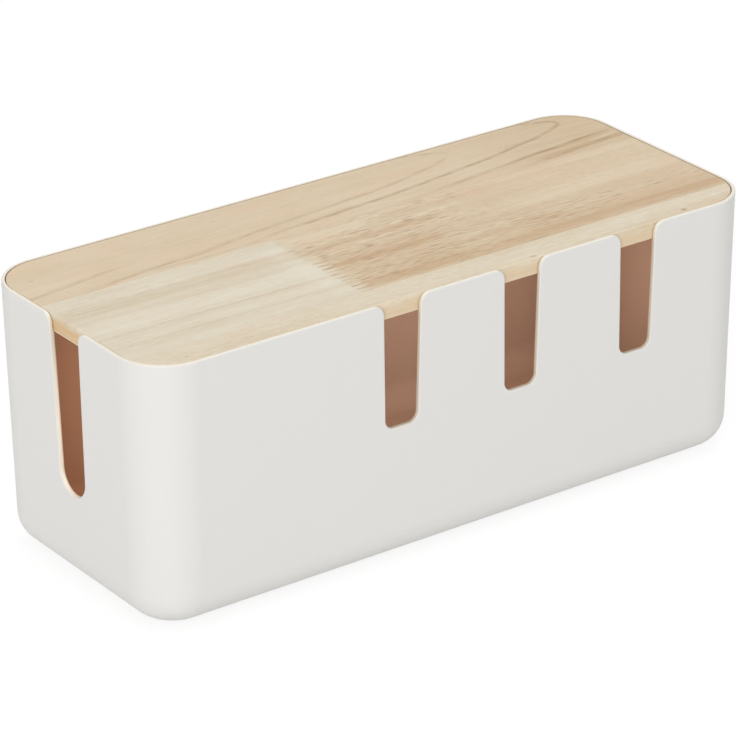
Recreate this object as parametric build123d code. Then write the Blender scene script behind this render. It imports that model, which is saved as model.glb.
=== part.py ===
from build123d import *
import os
from math import cos, radians, sin, tan

# Cable management box: a moulded tub with cable slots, and a glued wooden lid that drops into it.
# Millimetres. Origin at the middle of the footprint, on the surface that the feet stand on.
# +X runs along the box, -Y is the long side with the three slots, +Z is up.

# Tub, measured outside at the rim
BOX_LENGTH = 319.4
BOX_WIDTH = 130.4
TUB_HEIGHT = 122.5
CORNER_RADIUS = 23.5
BASE_RADIUS = 14.5
WALL = 2.4
RIM_WALL = 1.6         # round the lid, where the wall steps back on its inside
FLOOR = 2.6
DRAFT = 1.1            # degrees that the walls and the sides of the slots lean
EDGE_ROUND = 0.6       # on the rim and round each slot

# Cable slots, open at the rim; a width is taken where the sides meet the foot's curves
FRONT_SLOT_WIDTH = 17.0
FRONT_SLOT_DEPTH = 58.5
FRONT_SLOT_CORNER = 4.5
FRONT_SLOT_COUNT = 3
FRONT_SLOT_PITCH = 63.0
FRONT_SLOT_MARGIN = 67.3   # from the right end of the box to the middle of the last slot
END_SLOT_WIDTH = 19.3
END_SLOT_DEPTH = 79.7
END_SLOT_OFFSET = 0.8      # the end slot sits this far towards the front
MOUTH_RADIUS = 5.0

# Corner ribs that carry the lid
RIB_THICKNESS = 2.4
RIB_REACH = 5.5            # how far a rib stands out of the corner, just under the lid
RIB_DIRECTIONS = (45, 135, 225, 315)

# Lid, which lies in the tub on the ribs, level with the rim
LID_THICKNESS = 8.0
LID_GAP = 0.4              # between the lid's edge and the rim
LID_EDGE_ROUND = 0.6

# Staves that the lid is glued up from
BACK_STAVE_WIDTH = 44.0
FRONT_STAVE_WIDTH = 14.4
JOINT_FROM_LEFT = 118.0    # from the lid's left end to the middle of the finger joint
FINGER_LENGTH = 6.6
FINGER_PITCH = 3.6
FINGER_TIP = 0.6

# Feet, stuck in shallow recesses under the tub
FOOT_DIAMETER = 12.0
FOOT_THICKNESS = 2.0
FOOT_PROUD = 0.8
FOOT_GAP = 0.2             # round the foot, in its recess
FOOT_ROUND = 0.4
FOOT_FROM_END = 33.7
FOOT_FROM_SIDE = 30.7

# Only for cutting tools, which run this far past what they cut
OVERCUT = 3.0

TUB_Z = FOOT_PROUD
RIM_Z = TUB_Z + TUB_HEIGHT
FLOOR_Z = TUB_Z + FLOOR
LID_Z = RIM_Z - LID_THICKNESS
LEAN = TUB_HEIGHT * tan(radians(DRAFT))
LID_LENGTH = BOX_LENGTH - 2 * (RIM_WALL + LID_GAP)
LID_WIDTH = BOX_WIDTH - 2 * (RIM_WALL + LID_GAP)


def bucket(inset: float, bottom_z: float) -> Part:
    """Solid with the tub's shape, drawn in by inset, from the rim down to bottom_z."""
    outline = RectangleRounded(
        BOX_LENGTH - 2 * inset, BOX_WIDTH - 2 * inset, CORNER_RADIUS - inset
    )
    block = extrude(Pos(0, 0, RIM_Z) * outline, amount=RIM_Z - bottom_z, dir=(0, 0, -1), taper=DRAFT)
    return fillet(block.faces().sort_by(Axis.Z)[0].edges(), BASE_RADIUS - inset)


def slot_outline(width: float, depth: float, corner: float) -> Face:
    """Outline of one slot: a round foot, sides that lean out, and a flared mouth at the rim."""
    lean = radians(DRAFT)
    foot_x, foot_z = width / 2 - corner, RIM_Z - depth + corner
    side_x, side_z = foot_x + corner * cos(lean), foot_z - corner * sin(lean)
    mouth_z = RIM_Z - MOUTH_RADIUS
    mouth_x = side_x + (MOUTH_RADIUS + (mouth_z - side_z) * sin(lean)) / cos(lean)
    foot = CenterArc((foot_x, foot_z), corner, -90, 90 - DRAFT)
    mouth = CenterArc((mouth_x, mouth_z), MOUTH_RADIUS, 180 - DRAFT, DRAFT - 90)
    half = [foot, Line(foot @ 1, mouth @ 0), mouth, Line(mouth @ 1, (mouth_x, RIM_Z + OVERCUT))]
    if foot_x > 0:
        half.insert(0, Line((0, RIM_Z - depth), foot @ 0))
    other_half = [mirror(edge, about=Plane.YZ) for edge in half]
    return make_face(half + other_half + [Line(half[-1] @ 1, other_half[-1] @ 1)]).face()


def slot_cutters() -> list[Part]:
    """Tools for the slots in the front wall and in the left end, each through one wall."""
    through = WALL + LEAN + 2 * OVERCUT
    front_face = Plane.XZ * slot_outline(FRONT_SLOT_WIDTH, FRONT_SLOT_DEPTH, FRONT_SLOT_CORNER)
    front_face = Pos(0, -BOX_WIDTH / 2 - OVERCUT, 0) * front_face
    end_face = Plane.YZ * slot_outline(END_SLOT_WIDTH, END_SLOT_DEPTH, END_SLOT_WIDTH / 2)
    end_face = Pos(-BOX_LENGTH / 2 - OVERCUT, -END_SLOT_OFFSET, 0) * end_face
    front = extrude(front_face, amount=through, dir=(0, 1, 0))
    end = extrude(end_face, amount=through, dir=(1, 0, 0))
    last_slot_x = BOX_LENGTH / 2 - FRONT_SLOT_MARGIN
    slots_x = [last_slot_x - place * FRONT_SLOT_PITCH for place in range(FRONT_SLOT_COUNT)]
    return [end] + [Pos(x, 0, 0) * front for x in slots_x]


def rim_and_slot_edges(shell: Part) -> list[Edge]:
    """Edges along the rim and round the slots, on both faces of the wall."""
    short = [e for e in shell.edges().filter_by(GeomType.LINE) if e.length < 1.5 * WALL]
    across = [e for e in short if abs((e % 0).X) > 0.99 or abs((e % 0).Y) > 0.99]
    faces = [f for f in shell.faces() if any(e in across for e in f.edges())]
    return [e for f in faces for e in f.edges() if e not in across]


def lid_seat() -> Part:
    """Tool for the step inside the rim, as deep as the lid is thick."""
    length, width = BOX_LENGTH - 2 * RIM_WALL, BOX_WIDTH - 2 * RIM_WALL
    outline = RectangleRounded(length, width, CORNER_RADIUS - RIM_WALL)
    return extrude(Pos(0, 0, LID_Z) * outline, amount=LID_THICKNESS + OVERCUT, dir=(0, 0, 1))


def corner_ribs() -> list[Part]:
    """Upright ribs in the four corners, let into the wall and as high as the lid's underside."""
    half_wall = bucket(WALL / 2, TUB_Z + FLOOR / 2)
    inner_radius = CORNER_RADIUS - WALL
    plate_length = inner_radius + OVERCUT
    arc_x, arc_y = BOX_LENGTH / 2 - CORNER_RADIUS, BOX_WIDTH / 2 - CORNER_RADIUS
    plate = Box(
        plate_length, RIB_THICKNESS, LID_Z - TUB_Z, align=(Align.MIN, Align.CENTER, Align.MIN)
    )
    ribs = []
    for direction in RIB_DIRECTIONS:
        turn = radians(direction)
        arc_centre = Pos(arc_x * (1 if cos(turn) > 0 else -1), arc_y * (1 if sin(turn) > 0 else -1), TUB_Z)
        reach = Pos(inner_radius - RIB_REACH, 0, 0)
        ribs.append((arc_centre * Rot(0, 0, direction) * reach * plate) & half_wall)
    return ribs


def foot_places() -> dict[str, tuple[float, float]]:
    """Where each foot's middle is, seen from above."""
    x, y = BOX_LENGTH / 2 - FOOT_FROM_END, BOX_WIDTH / 2 - FOOT_FROM_SIDE
    return {
        "foot_front_left": (-x, -y),
        "foot_front_right": (x, -y),
        "foot_back_left": (-x, y),
        "foot_back_right": (x, y),
    }


def make_tub() -> Part:
    """The moulded tub: drafted walls, rounded base, slots, lid seat, ribs and foot recesses."""
    shell = bucket(0, TUB_Z) - bucket(WALL, FLOOR_Z)
    for cutter in slot_cutters():
        shell -= cutter
    shell = fillet(rim_and_slot_edges(shell), EDGE_ROUND) - lid_seat()
    for rib in corner_ribs():
        shell += rib
    recess_depth = FOOT_THICKNESS - FOOT_PROUD
    recess = Cylinder(
        FOOT_DIAMETER / 2 + FOOT_GAP,
        recess_depth + OVERCUT,
        align=(Align.CENTER, Align.CENTER, Align.MAX),
    )
    for x, y in foot_places().values():
        shell -= Pos(x, y, TUB_Z + recess_depth) * recess
    return shell


def make_foot(x: float, y: float) -> Part:
    """One round rubber foot, seated in its recess."""
    foot = Pos(x, y, 0) * Cylinder(
        FOOT_DIAMETER / 2, FOOT_THICKNESS, align=(Align.CENTER, Align.CENTER, Align.MIN)
    )
    return fillet(foot.edges().sort_by(Axis.Z)[0], FOOT_ROUND)


def lid_panel() -> Part:
    """The whole lid before it is divided into staves."""
    radius = CORNER_RADIUS - RIM_WALL - LID_GAP
    panel = extrude(Pos(0, 0, LID_Z) * RectangleRounded(LID_LENGTH, LID_WIDTH, radius), LID_THICKNESS)
    rims = panel.faces().filter_by(Axis.Z).edges()
    return fillet(rims, LID_EDGE_ROUND)


def finger_line(front_y: float, back_y: float) -> list[tuple[float, float]]:
    """Points of the finger joint's zigzag, from the front of the middle row to its back."""
    joint_x = JOINT_FROM_LEFT - LID_LENGTH / 2
    fingers = max(1, round((back_y - front_y) / FINGER_PITCH))
    pitch = (back_y - front_y) / fingers
    root_x, tip_x = joint_x - FINGER_LENGTH / 2, joint_x + FINGER_LENGTH / 2
    points = [(root_x, front_y)]
    for finger in range(fingers):
        middle = front_y + (finger + 0.5) * pitch
        points += [
            (root_x, middle - pitch / 2 + FINGER_TIP / 2),
            (tip_x, middle - FINGER_TIP / 2),
            (tip_x, middle + FINGER_TIP / 2),
            (root_x, middle + pitch / 2 - FINGER_TIP / 2),
        ]
    return points + [(root_x, back_y)]


def stave_block(points: list[tuple[float, float]]) -> Part:
    """Upright block over a closed outline, taller than the lid."""
    outline = Face(Wire(Polyline(*points, close=True)))
    height = LID_THICKNESS + 2 * OVERCUT
    return extrude(Pos(0, 0, LID_Z - OVERCUT) * outline, amount=height, dir=(0, 0, 1))


def make_staves() -> dict[str, Part]:
    """The four staves of the lid, glued edge to edge and, in the middle row, finger to finger."""
    panel = lid_panel()
    end_x, side_y = LID_LENGTH / 2 + OVERCUT, LID_WIDTH / 2 + OVERCUT
    front_y = FRONT_STAVE_WIDTH - LID_WIDTH / 2
    back_y = LID_WIDTH / 2 - BACK_STAVE_WIDTH
    zigzag = finger_line(front_y, back_y)
    outlines = {
        "lid_front_stave": [(-end_x, -side_y), (end_x, -side_y), (end_x, front_y), (-end_x, front_y)],
        "lid_back_stave": [(-end_x, back_y), (end_x, back_y), (end_x, side_y), (-end_x, side_y)],
        "lid_middle_left_stave": [(-end_x, front_y)] + zigzag + [(-end_x, back_y)],
        "lid_middle_right_stave": [(end_x, front_y)] + zigzag + [(end_x, back_y)],
    }
    return {name: panel & stave_block(points) for name, points in outlines.items()}


def make_parts() -> dict[str, Part]:
    """Every separate piece, by name."""
    feet = {name: make_foot(x, y) for name, (x, y) in foot_places().items()}
    return {"tub": make_tub()} | make_staves() | feet


os.makedirs("parts", exist_ok=True)
for name, piece in make_parts().items():
    export_step(piece, f"parts/{name}.step")
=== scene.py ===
"""Looks of a cable management box: a white moulded tub, a glued wooden lid and four rubber feet.

Meshes are in metres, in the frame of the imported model. Finishes are written in millimetres, as a maker
measures them, and read Object coordinates, so that a pattern stays on its piece wherever the piece goes.
"""

import logging
import math
from dataclasses import dataclass
from enum import Enum

import bpy
from mathutils import Matrix, Vector


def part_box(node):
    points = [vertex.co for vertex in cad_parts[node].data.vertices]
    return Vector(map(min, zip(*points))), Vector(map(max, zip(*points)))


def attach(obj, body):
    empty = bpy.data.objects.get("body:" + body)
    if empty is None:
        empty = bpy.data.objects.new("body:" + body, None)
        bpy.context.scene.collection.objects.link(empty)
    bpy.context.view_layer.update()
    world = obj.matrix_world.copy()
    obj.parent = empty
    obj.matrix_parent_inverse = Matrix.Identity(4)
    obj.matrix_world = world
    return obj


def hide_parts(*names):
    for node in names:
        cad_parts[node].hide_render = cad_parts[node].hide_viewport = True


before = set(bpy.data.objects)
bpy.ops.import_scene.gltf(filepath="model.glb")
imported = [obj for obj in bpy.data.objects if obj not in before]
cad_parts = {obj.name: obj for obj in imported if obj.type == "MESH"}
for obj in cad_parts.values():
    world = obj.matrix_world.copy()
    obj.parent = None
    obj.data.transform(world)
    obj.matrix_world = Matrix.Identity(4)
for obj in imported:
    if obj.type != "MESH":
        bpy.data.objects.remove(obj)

MM = 0.001
LOG = logging.getLogger("cable_box")

Socket = bpy.types.NodeSocket
Colour = tuple[float, float, float, float]

WHITE: Colour = (1.0, 1.0, 1.0, 1.0)
FACING_FROM = 0.4    # part of a normal along an axis at which a face starts to count as facing that way
FACING_FULL = 0.95   # part at which it counts fully


def srgb(red: float, green: float, blue: float) -> Colour:
    """Turns a colour written as on a paint card into the linear values that shaders take.

    Args:
        red: Red, 0 to 255.
        green: Green, 0 to 255.
        blue: Blue, 0 to 255.

    Returns:
        The linear red, green and blue, and an alpha of 1.
    """
    shares = [level / 255 for level in (red, green, blue)]
    linear = [s / 12.92 if s <= 0.04045 else ((s + 0.055) / 1.055) ** 2.4 for s in shares]
    return (linear[0], linear[1], linear[2], 1.0)


def grey(shade: float) -> Colour:
    """A grey of a given linear value."""
    return (shade, shade, shade, 1.0)


class Field:
    """A number that varies over a surface. Arithmetic on it adds Math nodes to its tree."""

    def __init__(self, web: "NodeWeb", socket: Socket) -> None:
        """Keeps the socket that carries the number, and the web that it belongs to."""
        self.web = web
        self.socket = socket

    def __add__(self, other: "float | Field") -> "Field":
        """Sum."""
        return self.web.math("ADD", self, other)

    def __radd__(self, other: float) -> "Field":
        """Sum with a plain number on the left."""
        return self.web.math("ADD", other, self)

    def __sub__(self, other: "float | Field") -> "Field":
        """Difference."""
        return self.web.math("SUBTRACT", self, other)

    def __rsub__(self, other: float) -> "Field":
        """Difference with a plain number on the left."""
        return self.web.math("SUBTRACT", other, self)

    def __mul__(self, other: "float | Field") -> "Field":
        """Product."""
        return self.web.math("MULTIPLY", self, other)

    def __truediv__(self, other: "float | Field") -> "Field":
        """Quotient."""
        return self.web.math("DIVIDE", self, other)

    def __abs__(self) -> "Field":
        """The number without its sign."""
        return self.web.math("ABSOLUTE", self)

    def root(self) -> "Field":
        """Square root."""
        return self.web.math("SQRT", self)

    def at_least(self, other: "float | Field") -> "Field":
        """The larger of the two."""
        return self.web.math("MAXIMUM", self, other)

    def at_most(self, other: "float | Field") -> "Field":
        """The smaller of the two."""
        return self.web.math("MINIMUM", self, other)

    def cosine(self) -> "Field":
        """Cosine of the number, in radians."""
        return self.web.math("COSINE", self)

    def sine(self) -> "Field":
        """Sine of the number, in radians."""
        return self.web.math("SINE", self)

    def rise(self, none_at: float, full_at: float) -> "Field":
        """Smooth step between two values of the number.

        Args:
            none_at: Where the step is 0.
            full_at: Where it is 1; it may be the lower of the two.

        Returns:
            The step, 0 to 1.
        """
        inputs = {"Value": self, "From Min": none_at, "From Max": full_at, "To Min": 0.0, "To Max": 1.0}
        if full_at < none_at:
            inputs |= {"From Min": full_at, "From Max": none_at, "To Min": 1.0, "To Max": 0.0}
        node = self.web.node("ShaderNodeMapRange", inputs, interpolation_type="SMOOTHSTEP")
        return Field(self.web, node.outputs["Result"])

    def facing(self) -> "Field":
        """1 where this part of a surface's normal says that the surface faces that way, and 0 elsewhere."""
        return self.rise(FACING_FROM, FACING_FULL)


class NodeWeb:
    """Adds nodes to a tree and links them, so that a finish or a mesh rule reads as a formula."""

    def __init__(self, tree: bpy.types.NodeTree) -> None:
        """Keeps the tree that nodes go into."""
        self.tree = tree

    def feed(self, entry: Socket, value: object) -> None:
        """Links a socket or a Field to an input, or sets a plain value on it.

        Args:
            entry: The input.
            value: A socket, a Field or a plain value.
        """
        value = value.socket if isinstance(value, Field) else value
        if isinstance(value, Socket):
            self.tree.links.new(value, entry)
        else:
            entry.default_value = value

    def node(
        self, kind: str, inputs: dict[str | int, object] | None = None, **settings: object
    ) -> bpy.types.Node:
        """Adds one node.

        Args:
            kind: The node's type name.
            inputs: What each input holds, by name or index: a value, a socket or a Field.
            settings: The node's own properties.

        Returns:
            The new node.
        """
        node = self.tree.nodes.new(kind)
        for name, setting in settings.items():
            setattr(node, name, setting)
        for key, value in (inputs or {}).items():
            self.feed(node.inputs[key], value)
        return node

    def math(self, operation: str, *values: "float | Field") -> Field:
        """Adds a Math node for one operation on one or two numbers."""
        node = self.node("ShaderNodeMath", dict(enumerate(values)), operation=operation)
        return Field(self, node.outputs[0])

    def zero(self) -> Field:
        """A number that is 0 all over, to add others to."""
        return self.math("ADD", 0.0, 0.0)

    def length(self, first: Field, second: "float | Field") -> Field:
        """Length of the vector with these two parts."""
        return (first * first + second * second).root()

    def mix(self, share: "float | Field", first: "Colour | Socket", second: "Colour | Socket") -> Socket:
        """Blends two colours.

        Args:
            share: How much of the second colour, 0 to 1.
            first: A colour, or a socket that carries one.
            second: The same.

        Returns:
            The socket of the blended colour.
        """
        node = self.node("ShaderNodeMix", data_type="RGBA")
        entries = {socket.name: socket for socket in node.inputs if socket.enabled}
        for name, value in {"Factor": share, "A": first, "B": second}.items():
            self.feed(entries[name], value)
        return next(socket for socket in node.outputs if socket.enabled)

    def object_mm(self) -> tuple[Field, Field, Field]:
        """The point on the piece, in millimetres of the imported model's frame.

        Returns:
            Its x, y and z.
        """
        place = self.node("ShaderNodeTexCoord").outputs["Object"]
        scaled = self.node("ShaderNodeVectorMath", {0: place, "Scale": 1 / MM}, operation="SCALE")
        parts = self.node("ShaderNodeSeparateXYZ", {0: scaled.outputs[0]})
        return tuple(Field(self, socket) for socket in parts.outputs)

    def normal(self) -> tuple[Field, Field, Field]:
        """The way the surface faces, in the piece's own frame.

        Returns:
            The x, y and z parts of its normal.
        """
        facing = self.node("ShaderNodeTexCoord").outputs["Normal"]
        parts = self.node("ShaderNodeSeparateXYZ", {0: facing})
        return tuple(Field(self, socket) for socket in parts.outputs)

    def noise(
        self,
        place: tuple["float | Field", "float | Field", "float | Field"],
        detail: float,
        roughness: float,
    ) -> Field:
        """Adds noise that changes over about one unit of place.

        Args:
            place: Where to read it; a point in millimetres, divided by the pattern's size each way.
            detail: How many finer layers it has.
            roughness: How strong the finer layers are.

        Returns:
            The noise, about 0.5 on average and mostly within 0.2 to 0.8.
        """
        vector = self.node("ShaderNodeCombineXYZ", dict(enumerate(place))).outputs[0]
        inputs = {"Vector": vector, "Scale": 1.0, "Detail": detail, "Roughness": roughness}
        return Field(self, self.node("ShaderNodeTexNoise", inputs).outputs["Fac"])


@dataclass(frozen=True)
class Grain:
    """An irregular pattern: its size along a piece, and across and down it, in millimetres.

    detail is how many finer layers it has, and roughness how strong they are.
    """

    along: float
    across: float
    detail: float = 2.0
    roughness: float = 0.5

    def noise(self, x: Field, y: Field, z: Field, seed: float = 0.0) -> Field:
        """The pattern at a point.

        Args:
            x: Place along the piece.
            y: Place across it.
            z: Height.
            seed: Tells one piece from another.

        Returns:
            The pattern, about 0.5 on average and mostly within 0.2 to 0.8.
        """
        place = (x / self.along + seed, y / self.across, z / self.across)
        return x.web.noise(place, self.detail, self.roughness)

    def swing(self, x: Field, y: Field, z: Field, seed: float = 0.0) -> Field:
        """The same pattern about 0, so that it lightens as much as it darkens."""
        return self.noise(x, y, z, seed) - 0.5


def new_surface(name: str) -> tuple[bpy.types.Material, NodeWeb]:
    """Makes an empty node material.

    Args:
        name: The material's name.

    Returns:
        The material and a web on its tree.
    """
    material = bpy.data.materials.new(name)
    material.use_nodes = True
    material.node_tree.nodes.clear()
    return material, NodeWeb(material.node_tree)


def finish_surface(
    web: NodeWeb,
    colour: "Colour | Socket",
    roughness: "float | Field",
    height: Field,
    depth: float,
    ior: float,
) -> None:
    """Ends a material in one Principled shader with a bump.

    Args:
        web: The material's web.
        colour: Base colour.
        roughness: Roughness.
        height: Relief of the surface, 0 to 1.
        depth: How far the relief goes, in millimetres.
        ior: Index of refraction, the same all over the surface.
    """
    bump = web.node("ShaderNodeBump", {"Height": height, "Distance": depth * MM, "Strength": 1.0})
    inputs = {"Base Color": colour, "Roughness": roughness, "IOR": ior, "Normal": bump.outputs[0]}
    shader = web.node("ShaderNodeBsdfPrincipled", inputs)
    web.node("ShaderNodeOutputMaterial", {"Surface": shader.outputs[0]})


def new_growth(
    name: str, sizes: dict[str, float]
) -> tuple[bpy.types.GeometryNodeTree, NodeWeb, dict[str, Field]]:
    """Makes an empty Geometry Nodes tree with named number inputs.

    Args:
        name: The tree's name.
        sizes: Each input's name and usual value.

    Returns:
        The tree, a web on it, and the inputs as fields.
    """
    tree = bpy.data.node_groups.new(name, "GeometryNodeTree")
    tree.interface.new_socket("Geometry", in_out="OUTPUT", socket_type="NodeSocketGeometry")
    for label, value in sizes.items():
        entry = tree.interface.new_socket(label, in_out="INPUT", socket_type="NodeSocketFloat")
        entry.default_value = value
    web = NodeWeb(tree)
    given = web.node("NodeGroupInput").outputs
    return tree, web, {label: Field(web, given[label]) for label in sizes}


def end_growth(web: NodeWeb, geometry: Socket, material: bpy.types.Material) -> None:
    """Ends a Geometry Nodes tree in real meshes with a material.

    Args:
        web: The tree's web.
        geometry: The geometry so far.
        material: What its faces get.
    """
    real = web.node("GeometryNodeRealizeInstances", {"Geometry": geometry})
    dressed = web.node("GeometryNodeSetMaterial", {"Geometry": real.outputs[0], "Material": material})
    web.node("NodeGroupOutput", {"Geometry": dressed.outputs[0]})


def grow(name: str, tree: bpy.types.GeometryNodeTree, sizes: dict[str, float]) -> bpy.types.Object:
    """Runs a Geometry Nodes tree once and keeps what it makes as a plain mesh.

    Args:
        name: The new object's name.
        tree: The tree.
        sizes: What its named inputs hold.

    Returns:
        An object at the origin with the finished mesh and no modifier.
    """
    seedling = bpy.data.objects.new(f"{name}_rule", bpy.data.meshes.new(f"{name}_rule"))
    bpy.context.scene.collection.objects.link(seedling)
    modifier = seedling.modifiers.new(name, "NODES")
    modifier.node_group = tree
    for item in tree.interface.items_tree:
        if item.in_out == "INPUT":
            modifier[item.identifier] = float(sizes[item.name])
    grown = seedling.evaluated_get(bpy.context.evaluated_depsgraph_get())
    mesh = bpy.data.meshes.new_from_object(grown)
    mesh.name = name
    seedling.modifiers.clear()
    bpy.data.objects.remove(seedling)
    piece = bpy.data.objects.new(name, mesh)
    bpy.context.scene.collection.objects.link(piece)
    return piece


@dataclass(frozen=True)
class TubPlastic:
    """Satin plastic of the tub: white skin, cream painted highlight where the wall is cut through, and brown
    painted shade inside.

    Sizes are in millimetres. The colours follow the depth under the outer skin, so they turn at the edges
    of the rim and the slots. The cream on the cut faces is a painted highlight, palest on the rim's upward
    faces, and it turns to browner painted shade deeper into a cut. The inner wall is painted brown as shade
    from just under the lid's seat down, and more so at the end with the slot. A name in _from says where a
    change starts, and one in _full where it is complete.
    """

    wall: float = 2.4
    corner_radius: float = 23.5
    base_radius: float = 14.5
    draft: float = 1.1
    skin: Colour = srgb(226, 224, 220)
    # painted highlight: paler colour on the rim's upward faces
    rim: Colour = srgb(243, 236, 222)
    # painted highlight: cream on the cut faces and edge roundings, for warm light coming through the thin
    # wall
    cut_edge_highlight: Colour = srgb(226, 216, 198)
    # painted shade: browner colour deeper into a cut, towards the inside
    cut_lip_shade: Colour = srgb(184, 160, 138)
    # painted shade: brown on the inner wall, standing in for the shade inside the closed tub
    inside: Colour = srgb(160, 126, 103)
    # painted shade: deeper brown towards the end with the slot
    inside_end_shade: Colour = srgb(168, 119, 86)
    cut_edge_highlight_from: float = 0.08
    cut_edge_highlight_full: float = 0.45
    cut_lip_shade_from: float = 1.1
    inside_end_shade_from: float = -60.0
    inside_end_shade_full: float = -110.0
    inside_from: float = 0.05
    inside_blend: float = 0.06
    seat_band: float = 1.5
    roughness: float = 0.46
    inside_roughness: float = 0.8
    cloud: Grain = Grain(60.0, 60.0, detail=1.0)
    cloud_share: float = 0.08
    grain: Grain = Grain(0.55, 0.55, detail=3.0)
    grain_share: float = 0.06
    grain_depth: float = 0.012
    ior: float = 1.46

    def depth_under_skin(self, web: NodeWeb) -> Field:
        """Distance from the point to the tub's outer skin.

        The skin is a block with rounded corners that leans in below the rim by its draft, and rounds into
        its base.

        Args:
            web: The material's web.

        Returns:
            The depth in millimetres, 0 on the skin and about the wall's thickness inside.
        """
        low, high = (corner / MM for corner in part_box("tub"))
        x, y, z = web.object_mm()
        lean = (high.z - z) * math.tan(math.radians(self.draft))
        past_x = abs(x) - (high.x - self.corner_radius)
        past_y = abs(y) - (high.y - self.corner_radius)
        side = web.length(past_x.at_least(0.0), past_y.at_least(0.0)) + past_x.at_least(past_y).at_most(0.0)
        to_side = side + lean - self.corner_radius + self.base_radius
        to_base = low.z - z + self.base_radius
        rounded = web.length(to_side.at_least(0.0), to_base.at_least(0.0))
        return self.base_radius - rounded - to_side.at_least(to_base).at_most(0.0)

    def brown(self, depth: Field, z: Field) -> Field:
        """1 where the inner wall is painted brown as shade, and 0 elsewhere.

        Args:
            depth: Depth under the outer skin.
            z: Height.

        Returns:
            How brown the point is.
        """
        from_depth = self.wall - self.inside_from
        top = self.brown_top()
        inner = depth.rise(from_depth - self.inside_blend, from_depth + self.inside_blend)
        return inner * z.rise(top + self.inside_blend, top - self.inside_blend)

    def brown_top(self) -> float:
        """Height up to which the inner wall is painted brown as shade."""
        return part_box("lid_back_stave")[0].z / MM - self.seat_band

    def cut_face_highlight_and_shade(self, web: NodeWeb, depth: Field, z: Field) -> Socket:
        """Colour where the wall is cut through: cream painted highlight, browner painted shade towards the
        inside, and palest painted highlight on the rim.

        Args:
            web: The material's web.
            depth: Depth under the outer skin.
            z: Height.

        Returns:
            The socket of the colour.
        """
        top = self.brown_top()
        # painted highlight: the rim's upward faces get the paler colour
        rim_highlight_mask = web.normal()[2].facing() * z.rise(top, top + self.seat_band)
        # painted shade: the cut face turns browner deeper into the wall
        face = web.mix(depth.rise(self.cut_lip_shade_from, self.wall), self.cut_edge_highlight, self.cut_lip_shade)
        return web.mix(rim_highlight_mask, face, self.rim)

    def material(self) -> bpy.types.Material:
        """Makes the tub's material.

        Returns:
            The material.
        """
        material, web = new_surface("moulded_white_with_painted_light")
        x, y, z = web.object_mm()
        depth = self.depth_under_skin(web)
        # painted shade: mask of the brown inner wall
        brown = self.brown(depth, z)
        # painted highlight and shade: cut faces and the rim get cream, browner and paler colours
        cut = depth.rise(self.cut_edge_highlight_from, self.cut_edge_highlight_full)
        outside = web.mix(cut, self.skin, self.cut_face_highlight_and_shade(web, depth, z))
        # painted shade: brown inside, deeper towards the slotted end
        inside = web.mix(x.rise(self.inside_end_shade_from, self.inside_end_shade_full), self.inside, self.inside_end_shade)
        grain = self.grain.noise(x, y, z)
        cloud = self.cloud.swing(x, y, z)
        roughness = self.roughness + cloud * self.cloud_share + (grain - 0.5) * self.grain_share
        roughness = roughness + brown * (self.inside_roughness - self.roughness)
        finish_surface(web, web.mix(brown, outside, inside), roughness, grain, self.grain_depth, self.ior)
        return material


@dataclass(frozen=True)
class Tub:
    """The moulded tub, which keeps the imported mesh."""

    node: str = "tub"
    plastic: TubPlastic = TubPlastic()

    def dress(self) -> None:
        """Gives the tub its plastic."""
        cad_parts[self.node].material_slots[0].material = self.plastic.material()
        LOG.info("dressed %s", self.node)


@dataclass(frozen=True)
class Streak:
    """A soft band or thin line in the wood, from one point to another along the grain, in millimetres.

    fade is the share of its run over which each end fades in, and edge the share of its half width that is
    at full strength.
    """

    start: tuple[float, float]
    end: tuple[float, float]
    width: float
    strength: float
    fade: float = 0.15
    edge: float = 0.0

    def field(self, x: Field, y: Field) -> Field:
        """How strongly the streak shows at a point.

        Args:
            x: Place along the lid.
            y: Place across the lid.

        Returns:
            The streak's strength there.
        """
        run = self.end[0] - self.start[0]
        along = (x - self.start[0]) / run
        middle = along * (self.end[1] - self.start[1]) + self.start[1]
        across = abs(y - middle) / (self.width / 2)
        ends = along.rise(0.0, self.fade) * along.rise(1.0, 1.0 - self.fade)
        return across.rise(1.0, self.edge) * ends * self.strength


@dataclass(frozen=True)
class Knot:
    """A small dark eye in the wood, in millimetres. heart is the share of it that is darkest."""

    middle: tuple[float, float]
    length: float
    width: float
    strength: float
    heart: float = 0.2

    def field(self, x: Field, y: Field) -> Field:
        """How strongly the knot shows at a point.

        Args:
            x: Place along the lid.
            y: Place across the lid.

        Returns:
            The knot's strength there.
        """
        along = (x - self.middle[0]) / (self.length / 2)
        across = (y - self.middle[1]) / (self.width / 2)
        return x.web.length(along, across).rise(1.0, self.heart) * self.strength


@dataclass(frozen=True)
class Arch:
    """One arched growth line: its tip, how it looks, and the stretch of the lid where it shows."""

    tip: float
    strength: float
    width: float
    from_x: float = -200.0
    to_x: float = 200.0
    fade: float = 40.0


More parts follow.
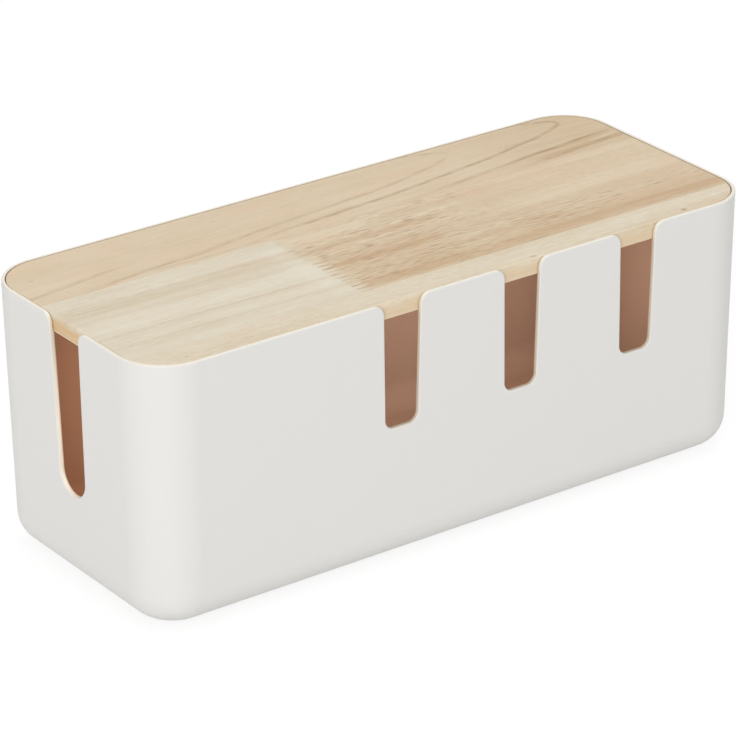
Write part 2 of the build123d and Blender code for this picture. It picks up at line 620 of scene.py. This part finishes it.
@dataclass(frozen=True)
class Arches:
    """Growth lines that run as nested arches, as on a board cut flat from the log.

    Each arch is a hyperbola that lies along the board, with its tip towards the lid's right end. A line
    darkens slowly on its inner side and ends sharply on its outer side; where it does is in line widths.
    """

    axis_y: float
    spread: float
    flare: float
    arches: tuple[Arch, ...]
    inner_from: float = -2.2
    inner_full: float = -0.2
    outer_end: float = 0.8

    def field(self, x: Field, y: Field) -> Field:
        """How strongly the growth lines show at a point.

        Args:
            x: Place along the lid.
            y: Place across the lid, with the grain's sway in it.

        Returns:
            The lines' strength there.
        """
        off = y - self.axis_y
        widening = (off * off * (4 * self.flare) + self.spread * self.spread).root()
        tip = x + (widening - self.spread) / (2 * self.flare)
        steepness = x.web.length(off * 2.0 / widening, 1.0)
        total = x.web.zero()
        for arch in self.arches:
            distance = (tip - arch.tip) / steepness
            inner = distance.rise(arch.width * self.inner_from, arch.width * self.inner_full)
            line = inner * distance.rise(arch.width * self.outer_end, 0.0)
            shown = x.rise(arch.from_x, arch.from_x + arch.fade) * x.rise(arch.to_x, arch.to_x - arch.fade)
            total = total + line * shown * arch.strength
        return total


class Sawing(Enum):
    """How a stave was cut from the log, which sets how wavy its grain is."""

    FLAT = 2.2
    QUARTER = 0.8
    WAVY = 1.6


@dataclass(frozen=True)
class RippleFigure:
    """Short dashes across a shimmering stave: dark ones in clumps and, between them, pale ones.

    Sizes are in millimetres. zones says where on the stave the dashes show, and how strongly. A name in
    _from says at which value of its pattern a dash or a clump starts, and one in _full where it is complete.
    """

    dash: Grain
    tilt: float
    zones: tuple[Streak, ...]
    clump: Grain = Grain(17.0, 5.0, detail=1.0)
    clump_from: float = 0.25
    clump_full: float = 0.6
    dark_from: float = 0.51
    dark_full: float = 0.69
    pale_from: float = 0.46
    pale_full: float = 0.32

    def fields(self, x: Field, y: Field, z: Field, seed: float) -> tuple[Field, Field]:
        """How strongly the dashes show at a point.

        Args:
            x: Place along the lid.
            y: Place across the lid, with the grain's sway in it.
            z: Height.
            seed: Tells one stave from another.

        Returns:
            The strength of the dark dashes and of the pale ones.
        """
        where = self.zones[0].field(x, y)
        for zone in self.zones[1:]:
            where = where.at_least(zone.field(x, y))
        dashes = self.dash.noise(x, y + x * self.tilt, z, seed)
        clumps = self.clump.noise(x, y, z, seed).rise(self.clump_from, self.clump_full)
        dark = dashes.rise(self.dark_from, self.dark_full) * clumps * where
        return dark, dashes.rise(self.pale_from, self.pale_full) * where


@dataclass(frozen=True)
class WoodGrain:
    """What all four staves have in common, as pieces of one kind of wood. Sizes are in millimetres.

    A name in _tone, _gloss or _relief says how much a pattern changes the tone, the roughness or the relief,
    and one in _from or _full at which value of its pattern a mark starts or is complete.
    """

    slow_wave: Grain = Grain(95.0, 28.0)
    slow_sway: float = 3.0
    quick_wave: Grain = Grain(26.0, 7.0, detail=1.0)
    quick_sway: float = 0.7
    band: Grain = Grain(150.0, 5.5, roughness=0.55)
    band_tone: float = 0.45
    cloud: Grain = Grain(30.0, 14.0, detail=3.0)
    cloud_tone: float = 0.35
    spot: Grain = Grain(5.0, 1.9, roughness=0.6)
    fibre: Grain = Grain(22.0, 0.75, detail=4.0, roughness=0.62)
    fibre_tone: float = 0.5
    fibre_gloss: float = 0.16
    fibre_relief: float = 0.6
    pore: Grain = Grain(4.2, 0.4, detail=1.0)
    pore_from: float = 0.6
    pore_full: float = 0.76
    pore_gloss: float = 0.4
    pore_relief: float = 3.0
    pale_dash_tone: float = 0.5
    blush: Grain = Grain(46.0, 9.0)
    blush_from: float = 0.5
    blush_full: float = 0.72
    line_break: Grain = Grain(9.0, 2.5, detail=3.0, roughness=0.6)
    line_break_from: float = 0.3
    line_break_full: float = 0.62
    line_break_share: float = 0.75
    end_ring_width: float = 5.0
    end_ring_height: float = 1.6
    end_ring_contrast: float = 1.6
    end_share: float = 0.85
    lower_edge_from: float = 1.2
    lower_edge_full: float = 0.4
    roughness: float = 0.5
    relief: float = 0.5
    relief_depth: float = 0.04
    ior: float = 1.45

    def sway(self, x: Field, y: Field, z: Field, seed: float) -> Field:
        """How far the grain's slow and quick waves push it across the lid."""
        slow = self.slow_wave.swing(x, y, z, seed) * self.slow_sway
        return slow + self.quick_wave.swing(x, y, z, seed) * self.quick_sway

    def pores(self, x: Field, y: Field, z: Field, seed: float) -> Field:
        """1 in the wood's pores and 0 between them."""
        return self.pore.noise(x, y, z, seed).rise(self.pore_from, self.pore_full)

    def rosiness(self, x: Field, y: Field, z: Field, seed: float) -> Field:
        """1 where the wood blushes and 0 elsewhere."""
        return self.blush.noise(x, y, z, -seed).rise(self.blush_from, self.blush_full)

    def unbroken(self, x: Field, y: Field, z: Field, seed: float) -> Field:
        """1 where a growth line is whole, and less where it is broken."""
        whole = self.line_break.noise(x, y, z, seed).rise(self.line_break_from, self.line_break_full)
        return whole * self.line_break_share + (1 - self.line_break_share)

    def end_rings(self, y: Field, z: Field, seed: float) -> Field:
        """How much the lid's ends are warmed, ring by ring of their end grain.

        Args:
            y: Place across the lid.
            z: Height.
            seed: Tells one stave from another.

        Returns:
            The share of the end grain's colour, about end_share on average.
        """
        place = (y / self.end_ring_width, z / self.end_ring_height, seed)
        rings = y.web.noise(place, detail=2.0, roughness=0.5) - 0.5
        return rings * self.end_ring_contrast + self.end_share


@dataclass(frozen=True)
class Timber:
    """One stave's wood: its tones, growth lines, streaks, dashes and end grain. Sizes are in millimetres.

    tone is the ground tone, from 0 for pale to 1 for deep, and tone_to_right how much deeper it gets over
    tone_run. patches change the tone, and streaks, arches and knots are drawn in the line colour. The long
    sides are warmed by side_share, in full side_full below the top.
    """

    name: str
    pale: Colour
    deep: Colour
    line: Colour
    end_grain: Colour
    sawing: Sawing
    seed: float
    tone: float = 0.4
    tone_to_right: float = 0.0
    tone_run: float = 320.0
    contrast: float = 1.0
    mottle: float = 0.3
    pores: float = 0.16
    side_share: float = 0.36
    side_full: float = 4.5
    lower_edge: Colour = srgb(238, 214, 194)
    blush: Colour = srgb(226, 190, 160)
    blush_share: float = 0.3
    grain: WoodGrain = WoodGrain()
    arches: Arches | None = None
    figure: RippleFigure | None = None
    streaks: tuple[Streak, ...] = ()
    patches: tuple[Streak, ...] = ()
    knots: tuple[Knot, ...] = ()

    def material(self) -> bpy.types.Material:
        """Makes the stave's material.

        Returns:
            The material.
        """
        material, web = new_surface(self.name)
        grain = self.grain
        x, y, z = web.object_mm()
        wavy_y = y + grain.sway(x, y, z, self.seed) * self.sawing.value
        fibre = grain.fibre.swing(x, wavy_y, z, self.seed)
        tone = self.tones(x, y, wavy_y, z) + fibre * grain.fibre_tone * self.contrast
        lines = self.lines(x, y, wavy_y, z)
        pores = grain.pores(x, wavy_y, z, self.seed) * self.pores
        if self.figure:
            dark, pale = self.figure.fields(x, wavy_y, z, self.seed)
            tone = tone - pale * grain.pale_dash_tone
            lines = lines + dark
        colour = web.mix(tone.at_least(0.0).at_most(1.0), self.pale, self.deep)
        colour = web.mix((lines + pores).at_most(1.0), colour, self.line)
        colour = web.mix(grain.rosiness(x, y, z, self.seed) * self.blush_share, colour, self.blush)
        colour = self.end_and_sides(y, z, colour)
        roughness = fibre * grain.fibre_gloss + pores * grain.pore_gloss + grain.roughness
        height = fibre * grain.fibre_relief - pores * grain.pore_relief + grain.relief
        finish_surface(web, colour, roughness, height, grain.relief_depth, grain.ior)
        return material

    def tones(self, x: Field, y: Field, wavy_y: Field, z: Field) -> Field:
        """How deep the wood's ground tone is, from 0 for pale to 1 for deep.

        Args:
            x: Place along the lid.
            y: Place across the lid.
            wavy_y: The same, with the grain's sway in it.
            z: Height.

        Returns:
            The tone, before the fibres.
        """
        grain = self.grain
        bands = grain.band.swing(x, wavy_y, z, self.seed) * grain.band_tone
        clouds = grain.cloud.swing(x, y, z, self.seed) * grain.cloud_tone
        spots = grain.spot.swing(x, wavy_y, z, self.seed) * self.mottle
        tone = self.tone + (bands + clouds) * self.contrast + spots
        tone = tone + x * (self.tone_to_right / self.tone_run)
        for patch in self.patches:
            tone = tone + patch.field(x, wavy_y)
        return tone

    def lines(self, x: Field, y: Field, wavy_y: Field, z: Field) -> Field:
        """How strongly growth lines, streaks and knots show.

        Args:
            x: Place along the lid.
            y: Place across the lid.
            wavy_y: The same, with the grain's sway in it.
            z: Height.

        Returns:
            Their strength, 0 where there are none.
        """
        total = x.web.zero()
        if self.arches:
            total = total + self.arches.field(x, wavy_y)
        for streak in self.streaks:
            total = total + streak.field(x, wavy_y)
        total = total * self.grain.unbroken(x, wavy_y, z, self.seed)
        for knot in self.knots:
            total = total + knot.field(x, y)
        return total

    def end_and_sides(self, y: Field, z: Field, colour: Socket) -> Socket:
        """Warms the colour down the lid's ends and, less, down its long sides, with a pale lower edge.

        Args:
            y: Place across the lid.
            z: Height.
            colour: The colour of the top.

        Returns:
            The socket of the colour for all sides.
        """
        web, grain = y.web, self.grain
        bottom, top = (corner.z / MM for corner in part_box("lid_back_stave"))
        normal_x, normal_y, _ = web.normal()
        end = abs(normal_x).facing() * grain.end_rings(y, z, self.seed)
        side = abs(normal_y).facing() * self.side_share
        warm = (end + side).at_most(1.0)
        lower = z.rise(bottom + grain.lower_edge_from, bottom + grain.lower_edge_full)
        colour = web.mix(warm * (top - z).rise(0.0, self.side_full), colour, self.end_grain)
        return web.mix(warm * lower, colour, self.lower_edge)


BACK_TIMBER = Timber(
    name="tan_flat_sawn_stave",
    pale=srgb(228, 211, 182),
    deep=srgb(204, 177, 141),
    line=srgb(168, 134, 94),
    end_grain=srgb(206, 166, 116),
    sawing=Sawing.FLAT,
    seed=3.0,
    tone=0.33,
    tone_to_right=0.12,
    arches=Arches(
        axis_y=54.1,
        spread=4.36,
        flare=0.0067,
        arches=(
            Arch(-16.0, strength=0.34, width=1.6, to_x=-88.0),
            Arch(78.5, strength=0.42, width=1.4, from_x=-150.0, to_x=95.0),
            Arch(141.5, strength=0.62, width=1.25, from_x=-70.0, fade=70.0),
            Arch(232.0, strength=0.55, width=1.5, from_x=0.0, fade=90.0),
            Arch(303.0, strength=0.55, width=1.6, from_x=85.0),
        ),
    ),
    streaks=(
        Streak((-96, 35.5), (-34, 46.5), width=1.6, strength=0.14, fade=0.3),
        Streak((-106, 20.8), (-40, 21.4), width=1.4, strength=0.4, fade=0.2),
        Streak((96, 29.5), (160, 34.5), width=2.4, strength=0.45, fade=0.35),
    ),
    patches=(
        Streak((70, 45.0), (230, 45.0), width=120.0, strength=0.3, fade=0.45, edge=0.8),
        Streak((86, 27.0), (168, 34.0), width=6.0, strength=0.55, fade=0.4),
        Streak((100, 22.0), (166, 28.0), width=8.5, strength=0.85, fade=0.4),
        Streak((136, 27.5), (156, 29.5), width=3.0, strength=-0.7, fade=0.4),
        Streak((-30, 30.0), (60, 36.0), width=7.0, strength=-0.15, fade=0.3),
    ),
    knots=(
        Knot((-147.5, 44.0), length=4.0, width=2.0, strength=0.35),
        Knot((-50.0, 52.0), length=3.0, width=1.8, strength=0.3),
    ),
)

CREAM_TIMBER = Timber(
    name="cream_quarter_sawn_stave",
    pale=srgb(231, 223, 203),
    deep=srgb(209, 189, 158),
    line=srgb(190, 167, 131),
    end_grain=srgb(214, 178, 128),
    sawing=Sawing.QUARTER,
    seed=11.0,
    tone=0.3,
    contrast=1.3,
    mottle=0.6,
    blush_share=0.12,
    patches=(
        Streak((-176, 4.0), (-31, 0.5), width=13.0, strength=0.34, fade=0.03, edge=0.5),
        Streak((-176, -6.0), (-31, -9.0), width=6.0, strength=0.16, fade=0.05),
        Streak((-176, -15.0), (-31, -16.0), width=12.0, strength=-0.16, fade=0.05, edge=0.4),
        Streak((-176, -24.5), (-31, -27.5), width=5.0, strength=0.16, fade=0.05),
        Streak((-176, -36.0), (-31, -37.5), width=7.0, strength=0.18, fade=0.05),
        Streak((-56, -16.0), (-40, -16.0), width=66.0, strength=-0.16, fade=0.4, edge=0.7),
        Streak((-43.5, -14.8), (-34, -14.8), width=76.0, strength=0.16, fade=0.2, edge=0.9),
    ),
    streaks=(
        Streak((-142, 8.0), (-51, 3.0), width=1.5, strength=0.34, fade=0.15),
        Streak((-159, 3.4), (-63, -0.8), width=1.8, strength=0.3, fade=0.15),
        Streak((-150, -7.2), (-50, -11.2), width=1.2, strength=0.2, fade=0.15),
        Streak((-158, -23.4), (-44, -27.4), width=1.4, strength=0.34, fade=0.12),
        Streak((-150, -35.4), (-48, -37.0), width=1.8, strength=0.2, fade=0.15),
    ),
)

BROWN_TIMBER = Timber(
    name="brown_rippled_stave",
    pale=srgb(226, 209, 179),
    deep=srgb(201, 170, 132),
    line=srgb(160, 126, 92),
    end_grain=srgb(204, 162, 112),
    sawing=Sawing.WAVY,
    seed=23.0,
    tone=0.42,
    contrast=1.05,
    mottle=0.6,
    figure=RippleFigure(
        dash=Grain(7.5, 0.92, detail=1.0, roughness=0.4),
        tilt=0.04,
        zones=(
            Streak((-90, -18.0), (70, -20.0), width=66.0, strength=0.56, fade=0.3, edge=0.6),
            Streak((-60, -14.0), (16, -14.0), width=64.0, strength=0.64, fade=0.35, edge=0.6),
            Streak((-30, 16.0), (76, 13.0), width=14.0, strength=0.5, fade=0.3, edge=0.4),
            Streak((10, -29.0), (140, -31.0), width=24.0, strength=0.5, fade=0.3, edge=0.4),
            Streak((60, -28.0), (200, -26.5), width=12.0, strength=0.36, fade=0.3, edge=0.4),
        ),
    ),
    patches=(
        Streak((-60, 16.0), (200, 15.5), width=8.0, strength=-0.18, fade=0.05, edge=0.3),
        Streak((-70, 11.0), (15, 12.0), width=9.0, strength=-0.4, fade=0.25, edge=0.4),
        Streak((0, 4.6), (55, 5.6), width=6.0, strength=-0.3, fade=0.3),
        Streak((-60, -0.4), (40, -0.4), width=8.0, strength=0.34, fade=0.15),
        Streak((-60, -6.4), (220, -7.4), width=7.0, strength=-0.2, fade=0.08),
        Streak((20, -12.0), (240, -13.0), width=12.0, strength=-0.3, fade=0.4),
        Streak((-60, -18.4), (30, -19.0), width=8.0, strength=0.38, fade=0.2),
        Streak((12, -30.4), (90, -30.4), width=9.0, strength=0.28, fade=0.3),
        Streak((-60, -43.0), (220, -43.0), width=10.0, strength=0.32, fade=0.05, edge=0.4),
        Streak((10, -38.0), (240, -39.0), width=22.0, strength=0.2, fade=0.3, edge=0.5),
        Streak((-50, -24.0), (30, -26.0), width=48.0, strength=0.24, fade=0.35, edge=0.6),
        Streak((60, 4.0), (240, 2.0), width=32.0, strength=-0.12, fade=0.3, edge=0.5),
        Streak((-45, -14.8), (-35, -14.8), width=76.0, strength=-0.08, fade=0.2, edge=0.9),
    ),
    streaks=(
        Streak((0, -47.4), (170, -47.4), width=2.4, strength=0.36, fade=0.3),
        Streak((-34, -0.9), (18, -0.2), width=1.1, strength=0.5, fade=0.15),
        Streak((-34, -5.6), (24, -6.6), width=1.1, strength=0.45, fade=0.15),
        Streak((80, -30.4), (150, -29.4), width=1.2, strength=0.36, fade=0.25),
    ),
)

FRONT_TIMBER = Timber(
    name="cream_plain_stave",
    pale=srgb(231, 220, 198),
    deep=srgb(213, 194, 162),
    line=srgb(172, 146, 102),
    end_grain=srgb(214, 178, 128),
    sawing=Sawing.QUARTER,
    seed=37.0,
    tone=0.34,
    contrast=1.8,
    mottle=0.9,
    blush_share=0.12,
    patches=(
        # painted shade: darker band along the lid's front edge, beside the rim
        Streak((-180, -62.0), (180, -62.0), width=5.0, strength=0.2, fade=0.02),
        Streak((100, -59.0), (190, -59.0), width=8.0, strength=0.3, fade=0.4),
    ),
    knots=(
        Knot((121.5, -60.6), length=4.6, width=3.4, strength=0.85),
        Knot((37.5, -61.8), length=5.0, width=2.4, strength=0.6),
        Knot((-137.0, -58.5), length=2.4, width=1.6, strength=0.5),
    ),
)


@dataclass(frozen=True)
class Lid:
    """The glued lid: four staves, each with its own wood."""

    timbers: tuple[tuple[str, Timber], ...] = (
        ("lid_back_stave", BACK_TIMBER),
        ("lid_middle_left_stave", CREAM_TIMBER),
        ("lid_middle_right_stave", BROWN_TIMBER),
        ("lid_front_stave", FRONT_TIMBER),
    )

    def dress(self) -> None:
        """Gives every stave its wood."""
        for name, timber in self.timbers:
            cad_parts[name].material_slots[0].material = timber.material()
            LOG.info("dressed %s", name)


@dataclass(frozen=True)
class FootRubber:
    """The rubber of the feet: matt grey, dusty in places, with a fine moulded texture in millimetres."""

    bare: Colour = srgb(150, 150, 147)
    dusty: Colour = srgb(178, 177, 173)
    dust: Grain = Grain(4.0, 4.0, detail=3.0)
    dust_from: float = 0.45
    dust_full: float = 0.8
    dust_share: float = 0.35
    grain: Grain = Grain(0.25, 0.25)
    grain_depth: float = 0.02
    roughness: float = 0.75
    ior: float = 1.5

    def material(self) -> bpy.types.Material:
        """Makes the rubber's material.

        Returns:
            The material.
        """
        material, web = new_surface("grey_rubber")
        x, y, z = web.object_mm()
        dust = self.dust.noise(x, y, z).rise(self.dust_from, self.dust_full) * self.dust_share
        colour = web.mix(dust, self.bare, self.dusty)
        finish_surface(web, colour, self.roughness, self.grain.noise(x, y, z), self.grain_depth, self.ior)
        return material


@dataclass(frozen=True)
class RubberFeet:
    """Four round rubber pads with grip rings, made by one Geometry Nodes tree. Sizes are in millimetres.

    A pad's profile has profile_points points, and is turned in sectors steps. merge_within closes its axis
    and its seam.
    """

    nodes: tuple[str, ...] = ("foot_front_left", "foot_front_right", "foot_back_left", "foot_back_right")
    edge_round: float = 0.4
    ring_pitch: float = 1.3
    ring_depth: float = 0.22
    ring_fade: float = 0.5
    sectors: int = 56
    profile_points: int = 113
    merge_within: float = 0.004
    rubber: FootRubber = FootRubber()

    def build(self) -> bpy.types.Object:
        """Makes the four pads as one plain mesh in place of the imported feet, on the tub.

        Returns:
            The pads' object.
        """
        low, high = (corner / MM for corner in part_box(self.nodes[0]))
        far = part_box(self.nodes[-1])[0] / MM
        sizes = {
            "Radius": (high.x - low.x) / 2,
            "Thickness": high.z - low.z,
            "Edge round": self.edge_round,
            "Ring pitch": self.ring_pitch,
            "Ring depth": self.ring_depth,
            "Spacing along": far.x - low.x,
            "Spacing across": far.y - low.y,
        }
        pads = grow("rubber_feet", self.tree(sizes), sizes)
        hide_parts(*self.nodes)
        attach(pads, "tub")
        LOG.info("built %s, %d faces", pads.name, len(pads.data.polygons))
        return pads

    def tree(self, sizes: dict[str, float]) -> bpy.types.GeometryNodeTree:
        """Writes the tree: one pad turned from its profile, set on four points.

        Args:
            sizes: The named inputs with their usual values, in millimetres.

        Returns:
            The tree.
        """
        tree, web, given = new_growth("rubber_feet", sizes)
        points = {"Vertices X": self.sectors + 1, "Vertices Y": self.profile_points}
        sheet = web.node("GeometryNodeMeshGrid", {"Size X": 1.0, "Size Y": 1.0} | points)
        spot = web.node("ShaderNodeSeparateXYZ", {0: sheet.outputs["UV Map"]})
        angle = Field(web, spot.outputs[0]) * (2 * math.pi)
        out, up = self.profile(Field(web, spot.outputs[1]), given)
        around = {0: out * angle.cosine() * MM, 1: out * angle.sine() * MM, 2: up * MM}
        place = web.node("ShaderNodeCombineXYZ", around)
        turning = {"Geometry": sheet.outputs["Mesh"], "Position": place.outputs[0]}
        turned = web.node("GeometryNodeSetPosition", turning)
        closing = {"Geometry": turned.outputs[0], "Distance": self.merge_within * MM}
        closed = web.node("GeometryNodeMergeByDistance", closing)
        smooth = web.node("GeometryNodeSetShadeSmooth", {"Geometry": closed.outputs[0]})
        spacing = {"Size X": given["Spacing along"] * MM, "Size Y": given["Spacing across"] * MM}
        corners = web.node("GeometryNodeMeshGrid", spacing | {"Vertices X": 2, "Vertices Y": 2})
        placing = {"Points": corners.outputs["Mesh"], "Instance": smooth.outputs[0]}
        pads = web.node("GeometryNodeInstanceOnPoints", placing)
        end_growth(web, pads.outputs[0], self.rubber.material())
        return tree

    def profile(self, run: Field, given: dict[str, Field]) -> tuple[Field, Field]:
        """The pad's outline, from the middle of its underside out, up its side and back in over its top.

        Args:
            run: How far along the outline the point is, 0 to 1.
            given: The tree's named inputs.

        Returns:
            The point's distance from the pad's axis and its height, in millimetres.
        """
        radius, thickness, edge = given["Radius"], given["Thickness"], given["Edge round"]
        way = run * (radius * 2.0 + thickness)
        out = way.at_most(radius).at_most(radius * 2.0 + thickness - way)
        up = (way - radius).at_least(0.0).at_most(thickness)
        past_edge = (out - (radius - edge)).at_least(0.0).at_most(edge)
        lifted = edge - (edge * edge - past_edge * past_edge).at_least(0.0).root()
        rings = (out * (2 * math.pi) / given["Ring pitch"]).cosine() * -0.5 + 0.5
        within_edge = (radius - edge - out).rise(0.0, self.ring_fade)
        under = lifted.at_least(rings * given["Ring depth"] * within_edge)
        return out, up.at_least(under).at_most(thickness)


@dataclass(frozen=True)
class ProductCamera:
    """A long lens that looks down on the box from its front left.

    Angles are in degrees, lengths in metres, and the lens and its sensor in millimetres.
    """

    azimuth: float = -35.523
    elevation: float = 24.847
    roll: float = -0.586
    distance: float = 1.8099
    aim: tuple[float, float, float] = (-0.00422, 0.00147, 0.05913)
    lens_mm: float = 202.32
    sensor_mm: float = 36.0
    nearest: float = 0.05

    def place(self) -> bpy.types.Object:
        """Makes the camera and sets it as the scene's.

        Returns:
            The camera's object.
        """
        turn, rise, roll = (math.radians(angle) for angle in (self.azimuth, self.elevation, self.roll))
        back = Vector((math.sin(turn) * math.cos(rise), -math.cos(turn) * math.cos(rise), math.sin(rise)))
        right = Vector((0, 0, 1)).cross(back).normalized()
        up = back.cross(right)
        right, up = (
            right * math.cos(roll) + up * math.sin(roll),
            up * math.cos(roll) - right * math.sin(roll),
        )
        data = bpy.data.cameras.new("product_camera")
        data.sensor_width = self.sensor_mm
        data.lens = self.lens_mm
        data.clip_start = self.nearest
        camera = bpy.data.objects.new("product_camera", data)
        turned = Matrix((right, up, back)).transposed().to_4x4()
        camera.matrix_world = Matrix.Translation(Vector(self.aim) + back * self.distance) @ turned
        bpy.context.scene.collection.objects.link(camera)
        bpy.context.scene.camera = camera
        return camera


@dataclass(frozen=True)
class SoftLamp:
    """A rectangular lamp that faces a point. Lengths are in metres, power in watts."""

    name: str
    place: tuple[float, float, float]
    faces: tuple[float, float, float]
    width: float
    height: float
    power: float

    def hang(self) -> bpy.types.Object:
        """Makes the lamp, unseen by the camera.

        Returns:
            The lamp's object.
        """
        data = bpy.data.lights.new(self.name, "AREA")
        data.shape = "RECTANGLE"
        data.size = self.width
        data.size_y = self.height
        data.energy = self.power
        lamp = bpy.data.objects.new(self.name, data)
        lamp.location = self.place
        aim = Vector(self.faces) - Vector(self.place)
        lamp.rotation_euler = aim.to_track_quat("-Z", "Y").to_euler()
        lamp.visible_camera = False
        bpy.context.scene.collection.objects.link(lamp)
        return lamp


@dataclass(frozen=True)
class Studio:
    """Pale floor, even light all round and a few soft lamps. Lengths are in metres.

    The floor lights the box as a shade of grey, and is seen as a darker shade with a glow on it, so that it
    looks white and still takes the box's shadow. The last two lamps are inside the tub, under its lid, and
    keep its inner wall from going dark.
    """

    surround: float = 0.56
    floor_shade: float = 0.8
    floor_seen_shade: float = 0.25
    floor_seen_glow: float = 0.8
    floor_size: float = 6.0
    lamps: tuple[SoftLamp, ...] = (
        SoftLamp("corner_lamp", (-2.85, -2.62, 1.65), (0, 0, 0.06), width=1.8, height=1.5, power=79.0),
        SoftLamp("front_lamp", (1.3, -2.2, 0.8), (0.05, 0, 0.06), width=1.2, height=1.0, power=2.5),
        SoftLamp("top_lamp", (0.3, 0.2, 2.0), (0, 0, 0.1), width=1.6, height=1.6, power=8.8),
        SoftLamp(
            "cavity_lamp", (-0.01, -0.03, 0.085), (-0.01, 0.05, 0.01), width=0.27, height=0.04, power=0.138
        ),
        SoftLamp("slot_lamp", (0.1, -0.02, 0.085), (0.13, 0.05, 0.03), width=0.05, height=0.04, power=0.019),
    )

    def seen_directly(self, web: NodeWeb) -> Field:
        """1 for what the camera, a reflection or glass sees, and 0 for the light that falls on things.

        Args:
            web: The web of the world or of the floor's material.

        Returns:
            The 1 or 0.
        """
        path = web.node("ShaderNodeLightPath").outputs
        kinds = ("Is Camera Ray", "Is Glossy Ray", "Is Transmission Ray")
        camera, gloss, glass = (Field(web, path[kind]) for kind in kinds)
        return (camera + gloss + glass).at_most(1.0)

    def make_surround(self) -> None:
        """Makes the world: white to look at, and an even light."""
        world = bpy.data.worlds.new("studio")
        bpy.context.scene.world = world
        world.use_nodes = True
        world.node_tree.nodes.clear()
        web = NodeWeb(world.node_tree)
        light = web.node("ShaderNodeBackground", {"Color": WHITE, "Strength": self.surround})
        white = web.node("ShaderNodeBackground", {"Color": WHITE, "Strength": 1.0})
        parts = {0: self.seen_directly(web), 1: light.outputs[0], 2: white.outputs[0]}
        mixed = web.node("ShaderNodeMixShader", parts)
        web.node("ShaderNodeOutputWorld", {"Surface": mixed.outputs[0]})

    def make_floor(self) -> None:
        """Makes the floor, which looks white away from the box's shadow."""
        half = self.floor_size / 2
        corners = [(-half, -half, 0), (half, -half, 0), (half, half, 0), (-half, half, 0)]
        mesh = bpy.data.meshes.new("studio_floor")
        mesh.from_pydata(corners, [], [(0, 1, 2, 3)])
        floor = bpy.data.objects.new("studio_floor", mesh)
        bpy.context.scene.collection.objects.link(floor)
        mesh.materials.append(self.floor_paint())

    def floor_paint(self) -> bpy.types.Material:
        """Makes the floor's material.

        Returns:
            The material.
        """
        material, web = new_surface("pale_floor")
        paint = web.node("ShaderNodeBsdfDiffuse", {"Color": grey(self.floor_shade)})
        shadow = web.node("ShaderNodeBsdfDiffuse", {"Color": grey(self.floor_seen_shade)})
        glow = web.node("ShaderNodeEmission", {"Color": WHITE, "Strength": self.floor_seen_glow})
        seen = web.node("ShaderNodeAddShader", {0: shadow.outputs[0], 1: glow.outputs[0]})
        parts = {0: self.seen_directly(web), 1: paint.outputs[0], 2: seen.outputs[0]}
        mixed = web.node("ShaderNodeMixShader", parts)
        web.node("ShaderNodeOutputMaterial", {"Surface": mixed.outputs[0]})
        return material

    def build(self) -> None:
        """Makes the whole studio."""
        bpy.context.scene.view_settings.view_transform = "Standard"
        self.make_surround()
        self.make_floor()
        for lamp in self.lamps:
            lamp.hang()


def main() -> None:
    """Builds the scene in order and reports each piece."""
    logging.basicConfig(level=logging.INFO, format="%(name)s: %(message)s")
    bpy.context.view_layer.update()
    ProductCamera().place()
    Studio().build()
    Tub().dress()
    Lid().dress()
    RubberFeet().build()


if __name__ == "__main__":
    main()
